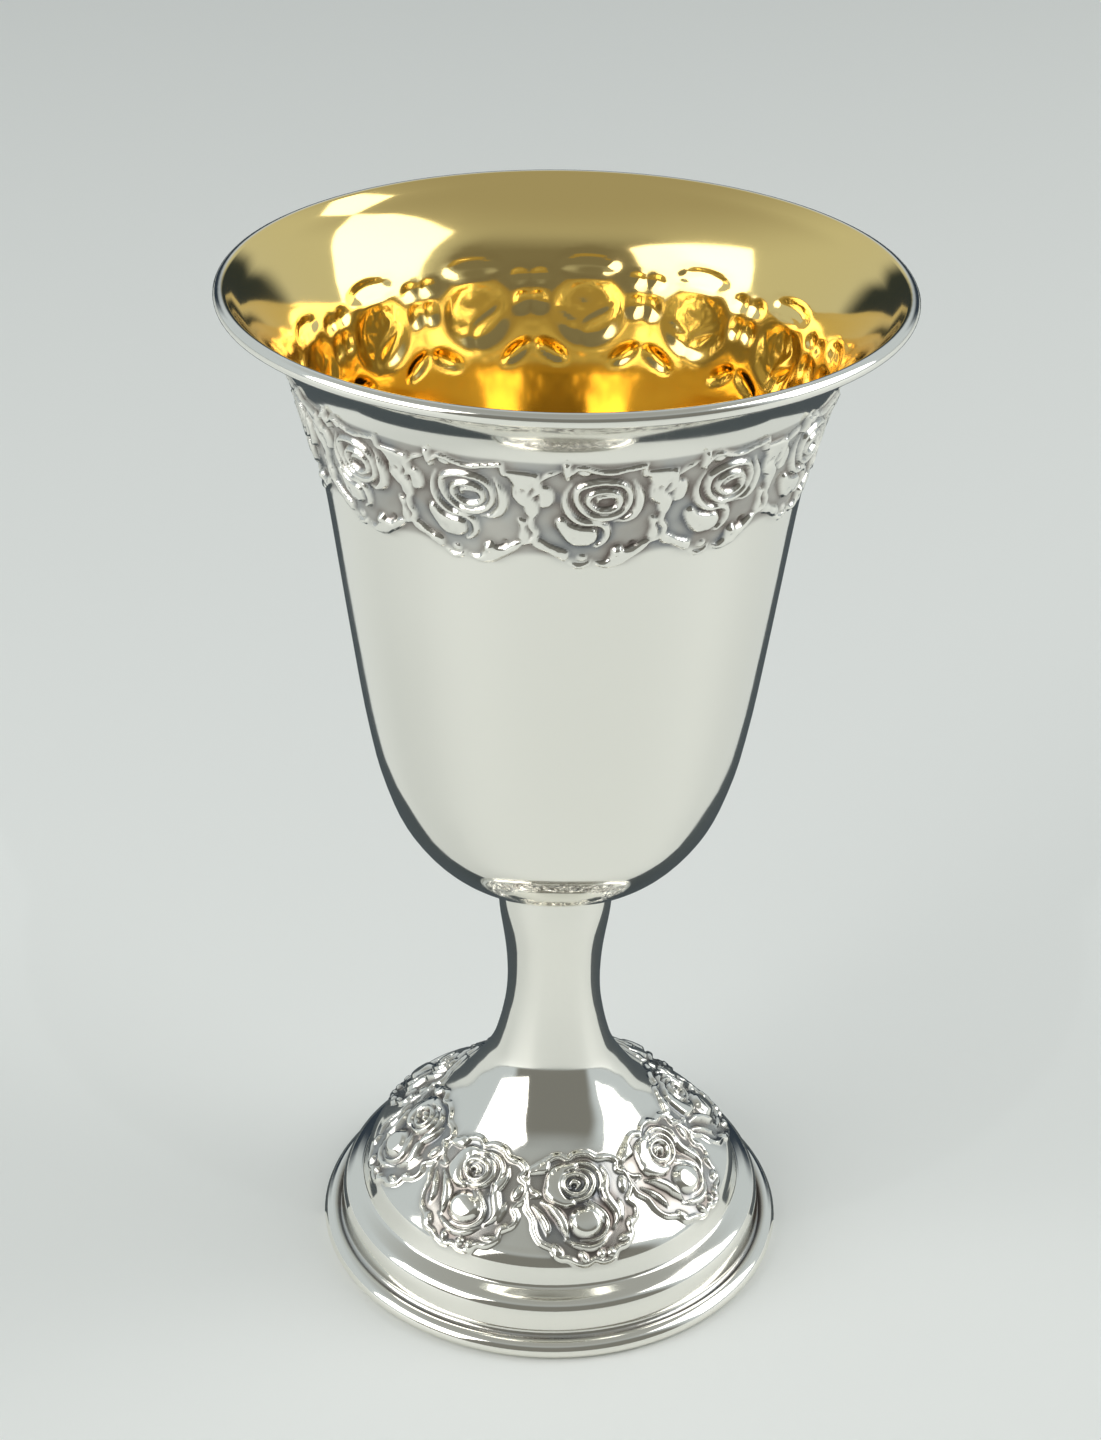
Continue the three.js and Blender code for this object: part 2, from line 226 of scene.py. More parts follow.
def beside(u, v, line, reach):
    """Which spots are near a line, how far away they are, and at what share of it."""
    near = (
        (u > line[:, 0].min() - reach) & (u < line[:, 0].max() + reach)
        & (v > line[:, 1].min() - reach) & (v < line[:, 1].max() + reach)
    )
    away = np.hypot(u[near][:, None] - line[:, 0], v[near][:, None] - line[:, 1])
    return near, away.min(axis=1), away.argmin(axis=1) / (len(line) - 1)


def ribbon(u, v, points, width, height, ends=(0.1, 0.1)):
    """A flat-topped band along a curve, narrowed to a share of its width at each end."""
    field = np.zeros_like(u)
    near, away, share = beside(u, v, spline(points, 12), width / 2 + EDGE)
    first, last = ends
    taper = np.minimum(
        first + (1 - first) * ease(share / 0.35), last + (1 - last) * ease((1 - share) / 0.35)
    )
    field[near] = plateau(width / 2 * taper - away, height)
    return field


def loop(u, v, points, width, height):
    """A flat-topped band along a closed curve."""
    field = np.zeros_like(u)
    near, away, _ = beside(u, v, around(points), width / 2 + EDGE)
    field[near] = plateau(width / 2 - away, height)
    return field


def slab(u, v, points, height):
    """A flat-topped shape inside a closed curve."""
    field = np.zeros_like(u)
    line = around(points)
    near, away, _ = beside(u, v, line, EDGE)
    x, y = u[near], v[near]
    inside = np.zeros(x.shape, bool)
    for (x0, y0), (x1, y1) in zip(line, np.roll(line, -1, axis=0)):
        if y0 != y1:
            crossing = x0 + (y - y0) * (x1 - x0) / (y1 - y0)
            inside ^= ((y0 > y) != (y1 > y)) & (x < crossing)
    field[near] = plateau(np.where(inside, away, -away), height)
    return field


def groove(u, v, points, width, depth):
    """How far a rounded groove along a curve cuts in."""
    field = np.zeros_like(u)
    near, away, share = beside(u, v, spline(points, 12), 2.6 * width)
    ends = ease(np.minimum(share, 1 - share) / 0.2 + 0.25)
    field[near] = depth * ends * np.exp(-((away / width) ** 2))
    return field


def blur(field, cells, wrap):
    """Gaussian blur of a height map; it goes round in u if wrap is set."""
    reach = max(1, int(3 * cells))
    weights = np.exp(-0.5 * (np.arange(-reach, reach + 1) / cells) ** 2)
    weights /= weights.sum()
    for axis, mode in ((0, "wrap" if wrap else "edge"), (1, "edge")):
        margin = [(0, 0), (0, 0)]
        margin[axis] = (reach, reach)
        padded = np.pad(field, margin, mode=mode)
        field = np.apply_along_axis(np.convolve, axis, padded, weights, "valid")
    return field


class Relief:
    """A height map over one rose, for the chased outside and the hammered inside of the sheet,
    with how dark each spot is: tarnishing in the chased hollows, painted shade in the hammered
    ones."""

    CELL = 0.07
    CHASED_SOFTNESS = 0.09
    HAMMERED_SOFTNESS = 0.2
    CREASE_REACH = 0.55
    HOLLOW_REACH = 0.7

    def __init__(self, half_u, low, high, wrap, chase, hammer):
        columns = int(round(2 * half_u / self.CELL))
        rows = int(round((high - low) / self.CELL)) + 1
        self.start, self.low = -half_u, low
        self.step_u = 2 * half_u / columns
        self.step_v = (high - low) / (rows - 1)
        self.wrap = wrap
        u, v = np.meshgrid(
            -half_u + self.step_u * np.arange(columns + (0 if wrap else 1)),
            low + self.step_v * np.arange(rows),
            indexing="ij",
        )
        carved, ground = chase(u, v)
        sharpness = self.CHASED_SOFTNESS / self.CELL
        self.crisp = blur(carved, sharpness, wrap)
        around_it = blur(carved, self.CREASE_REACH / self.CELL, wrap)
        crease = np.clip((around_it - self.crisp) / 0.22, 0, 1)
        self.dark = np.clip(0.6 * blur(ground, sharpness, wrap) + 0.55 * crease, 0, 1)
        self.soft = blur(hammer(u, v), self.HAMMERED_SOFTNESS / self.CELL, wrap)
        # Painted shade: the hammered side is darkened where it lies lower than the metal round it.
        hollow = blur(self.soft, self.HOLLOW_REACH / self.CELL, wrap) - self.soft
        self.shaded = np.clip(hollow / 0.16, 0, 1)

    def read(self, field, u, v):
        """The field's value between its cells."""
        x = (u - self.start) / self.step_u
        y = np.clip((v - self.low) / self.step_v, 0, field.shape[1] - 1.001)
        if self.wrap:
            x = np.mod(x, field.shape[0])
            i = np.floor(x).astype(int)
            i_next = (i + 1) % field.shape[0]
            i = i % field.shape[0]
        else:
            x = np.clip(x, 0, field.shape[0] - 1.001)
            i = np.floor(x).astype(int)
            i_next = i + 1
        j = np.floor(y).astype(int)
        s, t = x - np.floor(x), y - j
        return (
            (1 - s) * (1 - t) * field[i, j] + s * (1 - t) * field[i_next, j]
            + (1 - s) * t * field[i, j + 1] + s * t * field[i_next, j + 1]
        )


def carve(u, v, design, pitch=None):
    """The highest of a design's shapes at each spot, with its grooves and pits cut in."""
    field = np.zeros_like(u)
    for shift in (-pitch, 0, pitch) if pitch else (0,):
        moved = u + shift
        for centre, half, height, turn in design.get("bosses", ()):
            field = np.maximum(field, boss(moved, v, centre, half, height, turn))
        for height, points in design.get("slabs", ()):
            field = np.maximum(field, slab(moved, v, points, height))
        for height, width, points in design.get("loops", ()):
            field = np.maximum(field, loop(moved, v, points, width, height))
        for height, width, ends, points in design.get("ribbons", ()):
            field = np.maximum(field, ribbon(moved, v, points, width, height, ends))
    for shift in (-pitch, 0, pitch) if pitch else (0,):
        moved = u + shift
        for depth, width, points in design.get("grooves", ()):
            field = field - groove(moved, v, points, width, depth)
        for centre, radius, depth in design.get("pits", ()):
            away = np.hypot(moved - centre[0], v - centre[1]) / radius
            field = field - depth * np.exp(-away ** 2)
    return field


CRINKLE_WAVES = 26
CRINKLE_FINEST = 1.1


def crinkle(u, v, pitch, seed):
    """Small uneven hammer marks, the same at both sides of a tile that is pitch wide."""
    random = np.random.default_rng(seed)
    field = np.zeros_like(u)
    for _ in range(CRINKLE_WAVES):
        turns = random.integers(-int(pitch / CRINKLE_FINEST), int(pitch / CRINKLE_FINEST) + 1)
        rate = random.uniform(-1, 1) * 2 * math.pi / CRINKLE_FINEST
        phase = random.uniform(0, 2 * math.pi)
        field = field + np.sin(2 * math.pi * turns * u / pitch + rate * v + phase)
    return field / math.sqrt(CRINKLE_WAVES)


# The band's rose. Slabs are (height, outline), loops (height, width, line), ribbons (height,
# width, share of the width left at each end, line), grooves (depth, width, line).
BAND_ROSE = {
    "slabs": [
        # The large petal under the bud
        (0.72, [(-5.3, -3.1), (-4.7, -2.55), (-3.7, -3.35), (-2.35, -3.8), (-1.3, -3.9),
                (-0.75, -4.6), (-0.95, -5.75), (-1.85, -6.3), (-3.3, -6.25), (-4.4, -5.25)]),
        # The leaf on the right of the bud
        (0.62, [(4.0, 3.5), (5.5, 3.6), (7.0, 3.4), (7.4, 2.5), (6.8, 1.4), (6.4, 0.5), (7.2, -0.5),
                (7.45, -1.6), (6.9, -2.7), (6.2, -2.4), (5.8, -1.3), (5.2, -0.3), (5.1, 1.0),
                (4.5, 2.4)]),
        (0.55, [(-6.9, 1.7), (-6.0, 1.5), (-5.5, 0.4), (-5.9, -0.9), (-6.9, -1.2), (-7.1, 0.3)]),
        # The crumpled leaf at the lower right
        (0.5, [(5.2, -3.0), (6.1, -3.4), (5.9, -4.2), (6.4, -5.2), (5.9, -6.2), (5.2, -5.7),
               (5.4, -4.5)]),
        # The leaves below, on the right and on the left
        (0.66, [(-0.9, -8.7), (0, -8.8), (0.8, -8.3), (1.25, -7.2), (1.95, -6.6), (2.5, -7.2),
                (3.5, -7.0), (4.7, -6.3), (5.6, -6.2), (4.8, -7.3), (3.5, -8.25), (2, -9.2),
                (0.6, -9.45), (-0.4, -9.1)]),
        (0.62, [(-7.9, -5.5), (-6.7, -5.9), (-5.8, -6.5), (-4.7, -6.95), (-3.9, -7.4), (-4.2, -8.4),
                (-5.3, -7.9), (-6.5, -7.2), (-7.8, -6.6)]),
    ],
    "loops": [
        (0.95, 0.5, [(-1.95, 0), (-1.5, 0.9), (-0.4, 1.3), (0.8, 1.05), (1.5, 0.25), (1.35, -0.85),
                     (0.3, -1.45), (-0.9, -1.3), (-1.7, -0.6)]),
        (0.9, 0.55, [(-3.2, 0.4), (-2.9, 1.65), (-1.7, 2.35), (0, 2.55), (1.6, 2.05), (2.45, 0.9),
                     (2.5, -0.6), (1.7, -1.9), (0.4, -2.5), (-1.1, -2.35), (-2.5, -1.3)]),
    ],
    "ribbons": [
        (0.85, 0.4, (0.3, 0.3), [(1.2, -0.25), (0.9, 0.45), (0, 0.65), (-0.85, 0.3), (-0.9, -0.3)]),
        (0.86, 0.5, (0.2, 0.2), [(-1.7, -1.85), (-0.4, -2.2), (0.9, -2.05), (1.8, -1.4)]),
        # The petal that wraps the bud on the left and curls into a scroll below it
        (0.82, 0.75, (0.1, 0.5), [(-3.7, 2.1), (-4.25, 0.9), (-4.4, -0.4), (-4.0, -1.6),
                                  (-3.15, -2.6), (-2.1, -3.1), (-0.95, -3.1), (0.05, -3.65),
                                  (0.4, -4.75), (0, -5.85), (-0.8, -6.45)]),
        # The petal that wraps it on the right
        (0.82, 0.95, (0.05, 0.05), [(2.8, 2.4), (3.4, 0.95), (3.7, -0.5), (3.35, -1.9),
                                    (2.4, -2.75), (1.0, -3.05)]),
        # The folded edge above the bud, with its two corners
        (0.72, 0.55, (0.8, 0.8), [(-3.7, 4.0), (-3.1, 4.6), (-2.4, 4.7), (-1.55, 4.25), (-0.6, 3.9),
                                  (0.6, 3.85), (1.85, 4.15), (3.0, 4.45), (3.75, 4.7)]),
        (0.95, 0.75, (0.9, 0.7), [(-4.2, 5.0), (-4.15, 4.0), (-4.1, 3.1)]),
        (0.75, 0.5, (0.9, 0.7), [(3.75, 4.7), (3.8, 3.8), (3.9, 3.0)]),
        # Thin curled edges between two roses
        (0.85, 0.8, (0.7, 0.4), [(-7.35, 3.2), (-7.3, 2.2), (-7.25, 1.2), (-7.9, 0.2)]),
        (0.6, 0.5, (0.2, 0.6), [(-4.9, 4.0), (-6.0, 3.5), (-6.8, 2.7)]),
        (0.7, 0.45, (0.5, 0.3), [(4.85, 1.4), (4.95, 0.2), (5.6, -0.8), (6.6, -1.0), (7.5, -0.4)]),
        (0.75, 0.6, (0.4, 0.3), [(-7.3, -1.4), (-7.9, -2.6), (-8.05, -3.8), (-7.5, -4.9),
                                 (-8.2, -6.0), (-9.3, -6.5)]),
        # The small curl at the bottom
        (0.6, 0.5, (0.2, 0.2), [(-3.8, -8.7), (-2.9, -9.2), (-1.9, -9.05), (-1.2, -8.4)]),
    ],
    "bosses": [
        ((-2.4, 3.9), (0.9, 0.6), 0.45, 0),
        ((-2.3, -8.1), (0.8, 0.55), 0.35, 0),
        ((1.7, -7.3), (0.8, 0.7), 0.85, 20),
    ],
    "grooves": [
        (0.25, 0.14, [(-4.2, -3.1), (-2.7, -3.5), (-1.3, -3.6), (-0.55, -4.2), (-0.5, -5.4)]),
    ],
    "pits": [((5.8, 1.05), 0.3, 0.45), ((-5.75, -4.3), 0.9, 0.1), ((3.5, -6.6), 0.5, 0.3)],
}
# The same rose from the inside of the bowl, as the punches left it
BAND_HOLLOWS = {
    "bosses": [
        ((-0.2, -1.6), (5.3, 5.0), 1.0, 0),
        ((0, 4.0), (4.2, 1.7), 0.75, 0),
        ((-6.0, 2.6), (1.5, 1.15), 0.6, 0), ((6.0, 2.6), (1.5, 1.15), 0.6, 0),
        ((-6.2, -0.4), (1.3, 1.7), 0.6, 15), ((6.2, -0.4), (1.3, 1.7), 0.6, -15),
        ((-5.3, -6.7), (2.6, 1.1), 0.6, -35), ((4.7, -6.7), (2.7, 1.1), 0.6, 30),
    ],
    "grooves": [
        (0.3, 0.3, [(-3.6, 0.2), (-3.0, -1.4), (-1.4, -2.4), (0.2, -3.5), (0.6, -4.9),
                    (0.2, -6.2)]),
        (0.16, 0.3, [(-2.4, -0.6), (-2.5, 1.0), (-0.6, 2.3), (1.7, 1.9), (2.6, 0.2), (2.2, -1.2)]),
        (0.16, 0.28, [(-1.3, -0.9), (-1.5, 0.4), (0, 1.3), (1.4, 0.5), (1.2, -0.7), (0, -1.1)]),
        (0.2, 0.3, [(1.2, -3.4), (2.6, -2.9), (3.9, -1.7)]),
        (0.3, 0.35, [(-3.6, 3.0), (-1.2, 3.5), (1.3, 3.4), (3.6, 3.0)]),
    ],
}


def chase_band(u, v):
    """The height of the band's metal over the plain wall, and how much of it is bare ground."""
    pitch = 2 * BAND_HALF_PITCH
    body = boss(u, v, (-0.3, -1.5), (5.8, 5.6), 0.28)
    shapes = carve(u, v, BAND_ROSE, pitch)
    rough = 1 - ease((1.2 - np.hypot((u + 0.3) / 4.6, (v + 0.8) / 4.4)) / 0.25)
    shapes = shapes + 0.05 * crinkle(u, v, pitch, 4) * (0.25 + 0.75 * rough) * ease(shapes / 0.3)
    edge = np.minimum(BAND_HIGH - v, v - BAND_LOW)
    upper = ease((5.35 - v) / 0.35)
    lower = ease((v + 8.7 + 0.5 * np.cos(math.pi * u / BAND_HALF_PITCH)) / 0.9)
    ground = (1 - ease(shapes / 0.4)) * upper * lower
    return BAND_RELIEF * (body + shapes) * ease(edge / 0.6), ground


def hammer_band(u, v):
    """The height of the inside's metal over the plain wall."""
    field = carve(u, v, BAND_HOLLOWS, 2 * BAND_HALF_PITCH)
    edge = np.minimum(BAND_HIGH - v, v - BAND_LOW)
    return BAND_HAMMERED * field * ease(edge / 0.6)


# The medallion: a plate with a wavy raised rim, and a rose on it
MEDALLION_OUTLINE = [
    (-3.6, 6.4), (-5.0, 5.6), (-6.3, 4.6), (-6.9, 3.2), (-7.25, 1.7), (-7.4, 0.1), (-6.7, -1.4),
    (-6.75, -2.9), (-6.1, -4.4), (-4.9, -5.1), (-4.2, -6.2), (-2.8, -6.5), (-1.9, -7.0),
    (-0.6, -7.3), (0.5, -6.8), (1.6, -7.2), (2.9, -7.0), (3.7, -6.0), (5.1, -5.7), (6.0, -4.8),
    (6.0, -3.6), (7.1, -2.6), (7.2, -1.4), (6.3, -0.2), (6.9, 0.7), (7.1, 1.9), (6.5, 3.1),
    (5.4, 3.9), (5.6, 4.8), (4.3, 5.8), (2.9, 6.0), (1.6, 6.9), (0, 7.0), (-0.9, 6.5), (-2.2, 7.0),
]
MEDALLION_ROSE = {
    "slabs": [
        # The left half of the bud, and the folded petal above it at the left
        (0.75, [(-4.4, 2.9), (-3.3, 5.2), (-1.4, 5.8), (0.2, 5.5), (-1.6, 4.6), (-2.5, 3.0),
                (-2.0, 1.4), (-0.9, 0.6), (-2.3, 0.2), (-3.9, 0.9), (-4.6, 1.8)]),
        (0.62, [(-6.2, 4.5), (-4.9, 5.5), (-3.5, 6.3), (-3.9, 4.9), (-4.8, 4.6)]),
    ],
    "loops": [
        (0.55, 0.55, MEDALLION_OUTLINE),
        (0.95, 0.55, [(-2.1, 3.1), (-1.6, 4.1), (-0.5, 4.4), (0.6, 4.0), (1.0, 3.0), (0.4, 2.0),
                      (-0.7, 1.7), (-1.7, 2.2)]),
    ],
    "ribbons": [
        (0.9, 0.7, (0.4, 0.3), [(-1.3, 3.0), (-0.8, 3.4), (-0.2, 3.1), (-0.4, 2.6)]),
        # Petals round the bud
        (0.9, 0.6, (0.2, 0.3), [(-0.6, 5.0), (0.9, 4.8), (1.75, 3.9), (1.85, 2.7), (1.1, 1.5),
                                (-0.2, 1.0), (-1.4, 1.1)]),
        (0.85, 0.55, (0.2, 0.4), [(-0.9, 5.75), (0.6, 5.75), (1.9, 5.2), (2.7, 4.1), (2.85, 2.9),
                                  (2.5, 2.0)]),
        (0.82, 1.05, (0.2, 0.1), [(3.3, 4.6), (3.65, 3.5), (3.4, 2.4), (3.1, 1.4), (3.7, 0.1),
                                  (4.35, -1.2), (4.3, -2.3), (3.6, -3.3)]),
        # Petals round the ball
        (0.85, 0.4, (0.4, 0.2), [(0.9, 0.6), (2.0, -0.4), (2.75, -1.5), (2.9, -2.7), (2.1, -3.9),
                                 (0.7, -4.4), (-0.9, -4.3)]),
        (0.8, 0.35, (0.3, 0.2), [(0.3, 0.5), (1.5, -0.5), (2.3, -1.6), (2.4, -2.5)]),
        (0.85, 1.2, (0.1, 0.1), [(-5.2, 0.9), (-4.0, 0.0), (-3.15, -1.2), (-2.75, -2.6),
                                 (-2.6, -3.9)]),
        (0.6, 0.8, (0.2, 0.1), [(-6.4, 0.2), (-5.6, -1.0), (-5.1, -2.3), (-5.1, -3.6)]),
        (0.6, 0.7, (0.1, 0.1), [(-3.0, -4.1), (-1.3, -4.95), (0.5, -5.3), (1.9, -4.8),
                                (3.1, -3.8)]),
        # Folds of the rim
        (0.45, 0.3, (0.3, 0.3), [(-6.5, 3.1), (-6.3, 2.3), (-5.3, 1.8), (-6.6, 1.3)]),
        (0.5, 0.35, (0.5, 0.5), [(-1.9, 6.9), (-1.1, 6.3), (-0.4, 6.9)]),
    ],
    "bosses": [
        ((0.1, -2.0), (2.55, 2.3), 1.15, 0),
        ((-4.1, -5.3), (0.5, 1.0), 0.6, 35), ((-0.9, -6.4), (0.5, 0.95), 0.6, 25),
        ((1.5, -6.2), (0.6, 0.6), 0.55, 0), ((2.8, -6.3), (0.6, 0.7), 0.5, -20),
        ((5.0, -4.8), (1.1, 0.5), 0.55, 10), ((6.0, -3.2), (0.5, 0.8), 0.55, -20),
        ((5.9, 1.8), (0.7, 1.2), 0.45, 0), ((5.0, -1.2), (0.6, 1.6), 0.35, 0),
    ],
    "pits": [((-0.8, 2.9), 0.3, 0.4), ((2.6, 1.2), 0.55, 0.35)],
}
MEDALLION_HOLLOWS = {
    "bosses": [
        ((0, 0), (7.2, 6.9), 0.45, 0),
        ((-0.6, 3.0), (4.2, 3.2), 0.9, 0),
        ((0.1, -2.3), (3.0, 2.6), 1.0, 0),
    ],
    "grooves": [(0.3, 0.35, [(-3.4, 0.6), (-1.4, 0.1), (1.0, 0.4), (2.6, 0.9)])],
}


def chase_medallion(u, v):
    """The height of a medallion's metal over the plain dome, and how much is bare ground."""
    plate = slab(u, v, MEDALLION_OUTLINE, 1.0)
    body = 0.12 * plate + boss(u, v, (-0.1, 0.2), (5.4, 6.2), 0.28)
    shapes = carve(u, v, MEDALLION_ROSE)
    rim = ease((np.hypot(u, v) - 4) / 2)
    shapes = shapes + 0.05 * crinkle(u, v, 2 * MEDALLION_HALF, 9) * rim * ease(shapes / 0.3)
    ground = (1 - ease(shapes / 0.4)) * plate
    return MEDALLION_RELIEF * (body + shapes), ground


def hammer_medallion(u, v):
    """The height of the hollow side's metal over the plain dome."""
    return 0.6 * MEDALLION_RELIEF * carve(u, v, MEDALLION_HOLLOWS)


# ---- Closed shells -----------------------------------------------------------------------------

class Shell:
    """Rings of points, joined one after another into a closed mesh."""

    def __init__(self):
        self.points, self.faces, self.values = [], [], []
        self.count = 0
        self.ring = None

    def place(self, azimuth, radius, height, **values):
        """Adds a ring of points and joins it to the one before."""
        radius, height = np.broadcast_arrays(radius, height, azimuth)[:2]
        self.points.append(
            np.stack([radius * np.sin(azimuth), -radius * np.cos(azimuth), height], axis=-1)
        )
        self.values.append({k: np.broadcast_to(v, azimuth.shape) for k, v in values.items()})
        ring = np.arange(self.count, self.count + len(azimuth))
        self.count += len(azimuth)
        if self.ring is not None:
            self.join(self.ring, ring)
        self.ring = ring

    def pole(self, height, **values):
        """A single point on the axis that ends or starts the rings."""
        self.points.append(np.array([[0, 0, height]]))
        self.values.append({k: np.array([v]) for k, v in values.items()})
        tip = np.array([self.count])
        self.count += 1
        if self.ring is not None:
            self.join(self.ring, tip)
        self.ring = tip

    def join(self, ring, following):
        """Faces between two rings; one may have a whole number of times the other's points."""
        if len(ring) == len(following):
            a, b = ring, following
            self.faces += np.stack([a, np.roll(a, -1), np.roll(b, -1), b], axis=1).tolist()
            return
        flip = len(ring) < len(following)
        fine, coarse = (following, ring) if flip else (ring, following)
        ratio = len(fine) // len(coarse)
        for i, corner in enumerate(coarse):
            after = coarse[(i + 1) % len(coarse)]
            run = [fine[(i * ratio + k) % len(fine)] for k in range(ratio + 1)]
            middle = (ratio + 1) // 2 if len(coarse) > 1 else ratio
            parts = [(run[k], run[k + 1], corner) for k in range(middle)]
            if len(coarse) > 1:
                parts.append((run[middle], after, corner))
                parts += [(run[k], run[k + 1], after) for k in range(middle, ratio)]
            self.faces += [list(p[::-1]) if flip else list(p) for p in parts]

    def build(self, name):
        mesh = bpy.data.meshes.new(name)
        points = np.vstack(self.points) * MM
        mesh.from_pydata(points.tolist(), [], self.faces)
        for key in self.values[0]:
            attribute = mesh.attributes.new(key, "FLOAT", "POINT")
            values = np.concatenate([v[key] for v in self.values])
            attribute.data.foreach_set("value", values.astype(np.float32))
        mesh.shade_smooth()
        mesh.validate()
        piece = bpy.data.objects.new(name, mesh)
        bpy.context.scene.collection.objects.link(piece)
        return piece


def turn_profile(shell, profile, lengths, columns, start, offset=0.0, **values):
    """Rings of a plain turned surface."""
    azimuth = start + 2 * math.pi * np.arange(columns) / columns
    for length in lengths:
        shell.place(azimuth, *profile.at(length, offset), **values)


BOWL_COLUMNS = BAND_ROSES * 11
BAND_COLUMNS = BAND_ROSES * 66
BAND_INSIDE_COLUMNS = BAND_ROSES * 33
BAND_ROWS = 78
BAND_INSIDE_ROWS = 36


def make_bowl():
    wall = Profile(BOWL_PROFILE)
    rose = Relief(BAND_HALF_PITCH, BAND_LOW, BAND_HIGH, True, chase_band, hammer_band)
    middle = wall.length_at(BAND_CENTRE_HEIGHT)
    low, high = middle + BAND_LOW, middle + BAND_HIGH
    start = BAND_TURN - math.pi / BAND_ROSES
    plain = {"tarnish": 0.0, "gilt": 0.0}
    shell = Shell()

    def chase(rows, columns, base, field, patina_and_shade, gilt, downward):
        azimuth = start + 2 * math.pi * np.arange(columns) / columns
        u = (azimuth - BAND_TURN) * BAND_ROSES / math.pi * BAND_HALF_PITCH
        lengths = np.linspace(low, high, rows + 1)
        for length in lengths[::-1] if downward else lengths:
            v = np.full(columns, length - middle)
            raised = rose.read(field, u, v)
            edge = ease(min(length - low, high - length) / 0.8)
            tarnish = rose.read(patina_and_shade, u, v) * edge
            radius, height = wall.at(np.full(columns, length), base + raised)
            shell.place(azimuth, radius, height, tarnish=tarnish, gilt=gilt)

    # Outside, from the underside up
    shell.pole(BOWL_BOTTOM, **plain)
    lengths = wall.row(0, low, 33)[1:-1]
    turn_profile(shell, wall, lengths, BOWL_COLUMNS, start, **plain)
    chase(BAND_ROWS, BAND_COLUMNS, 0.0, rose.crisp, rose.dark, 0.0, False)
    flare = wall.row(high, wall.length, 10)
    turn_profile(shell, wall, flare[1:], BOWL_COLUMNS, start, **plain)

    # Over the rolled rim, where the gilding starts on its inner side
    azimuth = start + 2 * math.pi * np.arange(BOWL_COLUMNS) / BOWL_COLUMNS
    for angle in np.radians(np.linspace(-100, 130, 13)):
        shell.place(
            azimuth,
            RIM_RADIUS - RIM_BEAD_RADIUS * (1 - math.cos(angle)),
            CUP_HEIGHT - RIM_BEAD_RADIUS * (1 - math.sin(angle)),
            tarnish=0.0, gilt=1.0 if angle > math.radians(105) else 0.0,
        )

    # Inside, down the flare and the roses' hollow side to the floor
    plain["gilt"] = 1.0
    turn_profile(shell, wall, flare[:0:-1], BOWL_COLUMNS, start, -SHEET, **plain)
    # Painted shade on the gilt inside: the hollows of its hammered roses are darkened.
    chase(BAND_INSIDE_ROWS, BAND_INSIDE_COLUMNS, -SHEET, rose.soft, rose.shaded, 1.0, True)
    lengths = wall.row(low, 0, 18)[1:-1]
    turn_profile(shell, wall, lengths, BOWL_COLUMNS, start, -SHEET, **plain)
    shell.pole(BOWL_BOTTOM + SHEET, **plain)
    return shell.build("bowl_silver")


FOOT_COLUMNS = MEDALLIONS * 15
MEDALLION_COLUMNS = MEDALLIONS * 90
MEDALLION_INSIDE_COLUMNS = MEDALLIONS * 45
MEDALLION_ROWS = 94
MEDALLION_INSIDE_ROWS = 34
# How far from the crevice above the ring its darkening is full, and over what length it fades
CREVICE_DARK_FULL = 0.6
CREVICE_DARK_FADE = 1.1


def make_foot():
    dome = Profile(DOME_PROFILE)
    ring = Profile(RING_PROFILE)
    step = Profile(STEP_PROFILE)
    lining = Profile(LINING_PROFILE)
    rose = Relief(
        MEDALLION_HALF, -MEDALLION_HALF, MEDALLION_HALF, False, chase_medallion, hammer_medallion
    )
    middle = float(np.interp(MEDALLION_CENTRE_HEIGHT, dome.points[:, 1], dome.lengths))
    low, high = middle - MEDALLION_HALF, middle + MEDALLION_HALF
    start = MEDALLION_TURN - math.pi / MEDALLIONS
    plain = {"tarnish": 0.0, "gilt": 0.0}
    shell = Shell()

    def chase(rows, columns, base, field, patina_and_shade, downward):
        azimuth = start + 2 * math.pi * np.arange(columns) / columns
        pitch = 2 * math.pi / MEDALLIONS
        turned = np.mod(azimuth - MEDALLION_TURN + pitch / 2, pitch) - pitch / 2
        lengths = np.linspace(low, high, rows + 1)
        for length in lengths[::-1] if downward else lengths:
            u = turned * dome.at(length)[0]
            v = np.full(columns, length - middle)
            inside = ease((MEDALLION_HALF - np.abs(u)) / 0.3)
            raised = rose.read(field, u, v) * inside
            tarnish = rose.read(patina_and_shade, u, v) * inside
            radius, height = dome.at(np.full(columns, length), base + raised)
            shell.place(azimuth, radius, height, tarnish=tarnish, gilt=0.0)

    def bore(lengths, columns):
        turn_profile(shell, dome, lengths, columns, start, -SHEET, **plain)

    # Underside and ring, the crevice, the step and the dome, up to the stem's top
    for line, lengths in (
        (ring, ring.row(0, ring.length, 18)), (step, step.row(0, step.length, 18)[1:-1])
    ):
        for length in lengths:
            from_corner = line.length - length if line is ring else length
            # Darker towards the crevice above the ring.
            crevice_dark = float(1 - ease((from_corner - CREVICE_DARK_FULL) / CREVICE_DARK_FADE))
            turn_profile(shell, line, [length], FOOT_COLUMNS, start, tarnish=crevice_dark, gilt=0.0)
    turn_profile(shell, dome, dome.row(0, low, 3)[:-1], FOOT_COLUMNS, start, **plain)
    chase(MEDALLION_ROWS, MEDALLION_COLUMNS, 0.0, rose.crisp, rose.dark, False)
    turn_profile(shell, dome, dome.row(high, dome.length, 40)[1:], FOOT_COLUMNS, start, **plain)

    # Down the bore and the hollow side to the underside again
    bore(dome.row(dome.length, high, 12)[:-1], FOOT_COLUMNS)
    # Painted shade on the hollow side: its hammered hollows are darkened.
    chase(MEDALLION_INSIDE_ROWS, MEDALLION_INSIDE_COLUMNS, -SHEET, rose.soft, rose.shaded, True)
    turn_profile(shell, lining, lining.row(0, lining.length, 10), FOOT_COLUMNS, start, **plain)
    shell.join(shell.ring, np.arange(FOOT_COLUMNS))
    return shell.build("foot_silver")


# ---- Materials ---------------------------------------------------------------------------------

